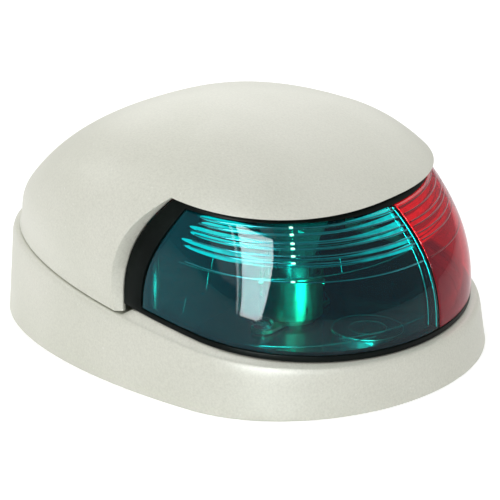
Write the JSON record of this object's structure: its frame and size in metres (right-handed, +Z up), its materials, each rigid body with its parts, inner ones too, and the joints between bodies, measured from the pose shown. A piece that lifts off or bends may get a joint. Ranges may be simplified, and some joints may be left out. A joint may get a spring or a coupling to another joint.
{
  "type": "bow navigation light",
  "caption": "Low egg-shaped deck light with a sloping hood, a wrap-round lens that is green to starboard and red to port, and a bayonet bulb inside.",
  "frame": {"origin": "centre of the base's length and width, on the deck face", "axes": "+X towards the bow, +Y to port, +Z up from the deck"},
  "size_m": [0.14, 0.1068, 0.0648],
  "materials": {
    "shell": "finely textured moulded plastic, off-white",
    "gasket": "closed-cell foam rubber, black",
    "black_plastic": "smooth moulded plastic, black",
    "green_lens": "clear glossy moulded plastic, blue-green",
    "red_lens": "clear glossy moulded plastic, red",
    "bulb_glass": "clear blown glass",
    "bulb_metal": "nickel-plated brass",
    "socket_metal": "tin-plated brass",
    "steel": "stainless steel",
    "insulator": "moulded insulating plastic, dark brown",
    "solder": "dull solder",
    "filament": "tungsten wire"
  },
  "bodies": {
    "base": {"base_shell": "shell", "deck_gasket": "gasket", "light_tray": "black_plastic", "socket_shell": "socket_metal", "socket_plug": "insulator", "socket_spring": "steel", "socket_screw_a": "steel", "socket_screw_b": "steel"},
    "lens_unit": {"lens_frame": "black_plastic", "lens_green": "green_lens", "lens_red": "red_lens", "lens_seam": "black_plastic"},
    "hood_cover": {"hood": "shell"},
    "contact_carrier": {"contact_disc": "insulator", "contact_stud_a": "socket_metal", "contact_stud_b": "socket_metal"},
    "bulb": {"bulb_glass": "bulb_glass", "bulb_base": "bulb_metal", "bulb_insulator": "insulator", "bulb_stem": "bulb_glass", "bulb_pin_a": "bulb_metal", "bulb_pin_b": "bulb_metal", "bulb_contact_a": "solder", "bulb_contact_b": "solder", "bulb_support_a": "bulb_metal", "bulb_support_b": "bulb_metal", "bulb_filament": "filament"}
  },
  "joints": [
    {"name": "lens_lift", "type": "slide", "parent": "base", "child": "lens_unit", "axis": [0, 0, 1], "range_m": [0, 0.055]},
    {"name": "hood_lift", "type": "slide", "parent": "lens_unit", "child": "hood_cover", "axis": [0, 0, 1], "range_m": [0, 0.03]},
    {"name": "contact_push", "type": "slide", "parent": "base", "child": "contact_carrier", "axis": [0, 0, -1], "range_m": [0, 0.0016], "stiffness_N_per_m": 1500, "springref_m": -0.002, "deforming": ["socket_spring"]},
    {"name": "bulb_turn", "type": "hinge", "parent": "contact_carrier", "child": "bulb", "pos_m": [0.0203, 0, 0.016], "axis": [0, 0, 1], "range_deg": [0, 22]}
  ]
}
